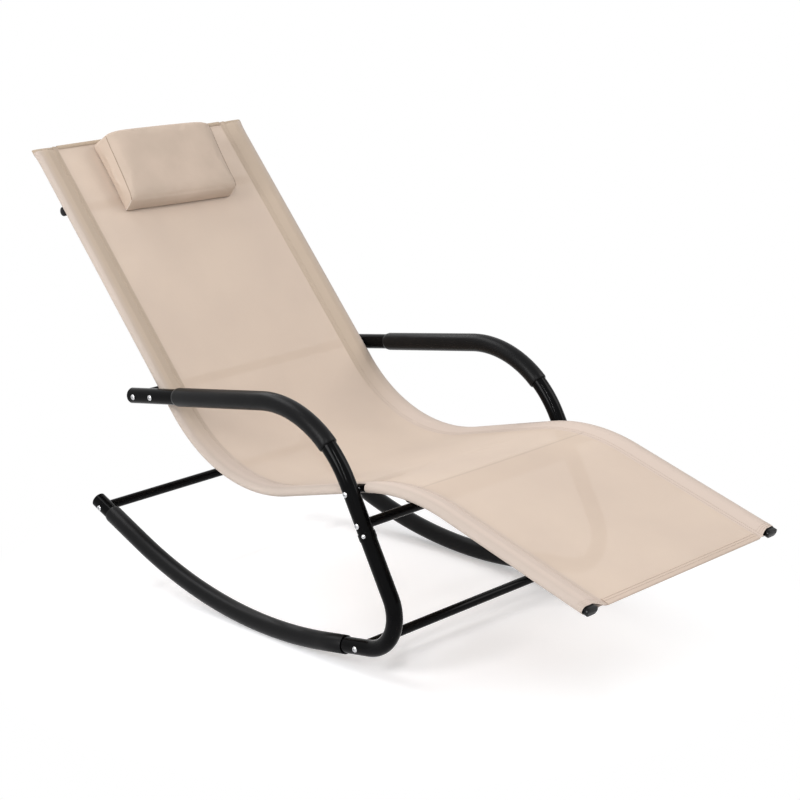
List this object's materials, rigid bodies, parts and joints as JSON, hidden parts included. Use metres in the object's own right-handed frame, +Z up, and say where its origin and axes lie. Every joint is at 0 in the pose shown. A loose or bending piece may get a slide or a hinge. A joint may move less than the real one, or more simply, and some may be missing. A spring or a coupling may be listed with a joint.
{
  "type": "rocking chaise lounge",
  "caption": "Rocking chaise lounge: bent tube frame on curved rockers, sling seat with a lowered leg rest, padded arms and a head pillow.",
  "frame": {"origin": "on the floor, midway between the two rockers and midway along the chair's length", "axes": "+Z is up, +Y runs from the foot end to the head end, -X is the sitter's right"},
  "size_m": [0.622, 1.4606, 0.8736],
  "materials": {
    "frame_steel": "satin",
    "foam": "matte",
    "round_plug": "satin",
    "oval_plug": "gloss",
    "zinc": "satin",
    "sling_fabric": "matte",
    "pocket_fabric": "matte",
    "pillow_fabric": "matte"
  },
  "bodies": {
    "chair": {"arm_tube_right": "frame_steel", "arm_tube_left": "frame_steel", "rocker_tube_right": "frame_steel", "rocker_tube_left": "frame_steel", "leg_coupler_right": "zinc", "leg_coupler_left": "zinc", "arm_grip_right": "foam", "arm_grip_left": "foam", "rocker_sleeve_right": "foam", "rocker_sleeve_left": "foam", "arm_cap_right": "round_plug", "arm_cap_left": "round_plug", "rocker_cap_right": "round_plug", "rocker_cap_left": "round_plug", "back_rail_right": "frame_steel", "back_rail_left": "frame_steel", "seat_rail_right": "frame_steel", "seat_rail_left": "frame_steel", "rail_coupler_right": "zinc", "rail_coupler_left": "zinc", "rail_foot_cap_right": "oval_plug", "rail_foot_cap_left": "oval_plug", "rail_head_cap_right": "oval_plug", "rail_head_cap_left": "oval_plug", "head_bar_cap_right": "round_plug", "head_bar_cap_left": "round_plug", "side_sleeve_right": "pocket_fabric", "side_sleeve_left": "pocket_fabric", "back_bar_bolt_right": "zinc", "back_bar_bolt_left": "zinc", "back_rail_bolt_right": "zinc", "back_rail_bolt_left": "zinc", "seat_rail_bolt_right": "zinc", "seat_rail_bolt_left": "zinc", "seat_bar_bolt_right": "zinc", "seat_bar_bolt_left": "zinc", "front_bar_bolt_right": "zinc", "front_bar_bolt_left": "zinc", "rear_bar_bolt_right": "zinc", "rear_bar_bolt_left": "zinc", "joint_screw_right": "zinc", "joint_screw_left": "zinc", "head_bar_bolt_right": "zinc", "head_bar_bolt_left": "zinc", "back_rail_washer_right": "zinc", "back_rail_washer_left": "zinc", "seat_rail_washer_right": "zinc", "seat_rail_washer_left": "zinc", "crossbar_back": "frame_steel", "crossbar_seat": "frame_steel", "crossbar_front": "frame_steel", "crossbar_rear": "frame_steel", "crossbar_head": "frame_steel", "crossbar_knee": "frame_steel", "sling_panel": "sling_fabric", "pillow_strap": "pocket_fabric"},
    "pillow": {"headrest_pillow": "pillow_fabric"}
  },
  "joints": [
    {"name": "pillow_slide", "type": "slide", "parent": "chair", "child": "pillow", "axis": [0, 0.6608, 0.7506], "range_m": [-0.06, 0.01]}
  ]
}
